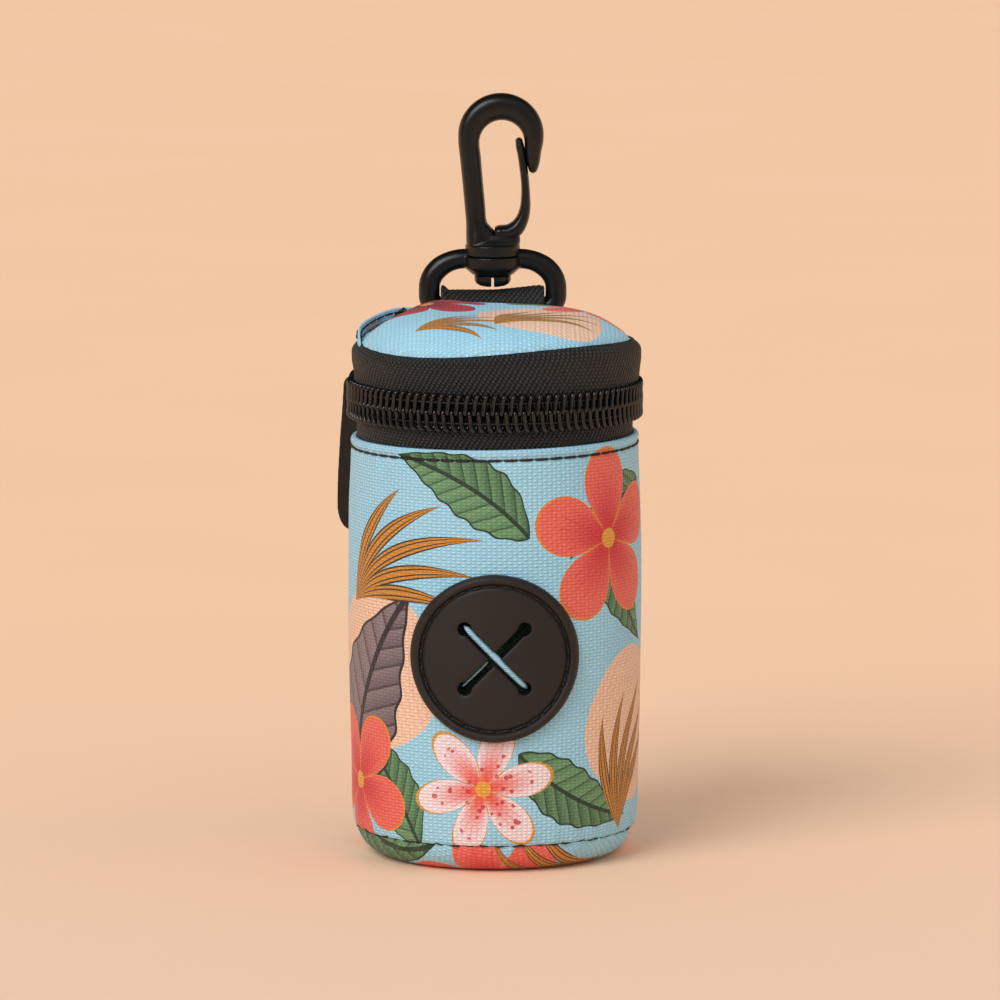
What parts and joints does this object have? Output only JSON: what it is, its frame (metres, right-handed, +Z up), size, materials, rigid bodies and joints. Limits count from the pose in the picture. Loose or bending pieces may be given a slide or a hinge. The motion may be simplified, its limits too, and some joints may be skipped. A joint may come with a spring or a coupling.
{
  "type": "dog waste bag dispenser pouch",
  "caption": "Round padded zip-top pouch for a roll of dog waste bags, with a crossed-slit rubber port, webbing loop, swivelling D-ring and snap hook.",
  "frame": {"origin": "centre of the base, on the floor that the pouch stands on", "axes": "+Z up the pouch's axis towards the hook, -Y out of the slit port, +X to the right seen from the port"},
  "size_m": [0.0536, 0.0584, 0.1297],
  "materials": {
    "printed_cloth": "matte",
    "padding": "matte",
    "lining": "matte",
    "binding": "matte",
    "port_rubber": "matte",
    "zip_tape": "matte",
    "coil_nylon": "satin",
    "black_metal": "satin",
    "webbing": "matte",
    "hook_plastic": "satin",
    "bag_film": "satin",
    "core_card": "matte"
  },
  "bodies": {
    "pouch": {"body_outer": "printed_cloth", "body_foam": "padding", "body_lining": "lining", "base_panel": "printed_cloth", "base_foam": "padding", "base_lining": "lining", "base_binding": "binding", "slit_port": "port_rubber", "zip_tape_lower": "zip_tape", "zip_coil_lower": "coil_nylon", "zip_stops_lower": "black_metal", "hinge_panel": "printed_cloth"},
    "lid": {"lid_top": "printed_cloth", "lid_foam": "padding", "lid_lining": "lining", "lid_binding": "binding", "rim_facing": "printed_cloth", "zip_tape_upper": "zip_tape", "zip_coil_upper": "coil_nylon", "zip_stops_upper": "black_metal", "strap_loop": "webbing"},
    "slider": {"zip_slider": "black_metal"},
    "puller": {"zip_puller": "black_metal"},
    "ring": {"swivel_ring": "hook_plastic"},
    "hook": {"snap_hook": "hook_plastic"},
    "gate": {"hook_gate": "hook_plastic"},
    "roll": {"bag_roll": "bag_film", "roll_core": "core_card"}
  },
  "joints": [
    {"name": "lid_hinge", "type": "hinge", "parent": "pouch", "child": "lid", "pos_m": [0, 0.0247, 0.07935], "axis": [-1, 0, 0], "range_deg": [0, 110], "deforming": ["hinge_panel"]},
    {"name": "slider_travel", "type": "hinge", "parent": "pouch", "child": "slider", "pos_m": [0, 0, 0.07935], "axis": [0, 0, 1], "range_deg": [0, 240], "deforming": ["zip_tape_lower", "zip_tape_upper", "zip_coil_lower", "zip_coil_upper"]},
    {"name": "puller_swing", "type": "hinge", "parent": "slider", "child": "puller", "pos_m": [-0.02447, 0.01529, 0.07935], "axis": [0.5299, 0.848, 0], "range_deg": [0, 170]},
    {"name": "ring_swing", "type": "hinge", "parent": "lid", "child": "ring", "pos_m": [-0.0004, 0.0262, 0.0919], "axis": [1, 0, 0], "range_deg": [-110, 40]},
    {"name": "hook_swivel", "type": "hinge", "parent": "ring", "child": "hook", "pos_m": [-0.0004, 0.0262, 0.101], "axis": [0, 0, 1], "continuous": true},
    {"name": "gate_flex", "type": "hinge", "parent": "hook", "child": "gate", "pos_m": [0.0009, 0.0262, 0.1053], "axis": [0, -1, 0], "range_deg": [0, 14], "stiffness_Nm_per_rad": 0.2},
    {"name": "roll_spin", "type": "hinge", "parent": "pouch", "child": "roll", "pos_m": [0, 0, 0.03], "axis": [0, 0, 1], "continuous": true}
  ]
}
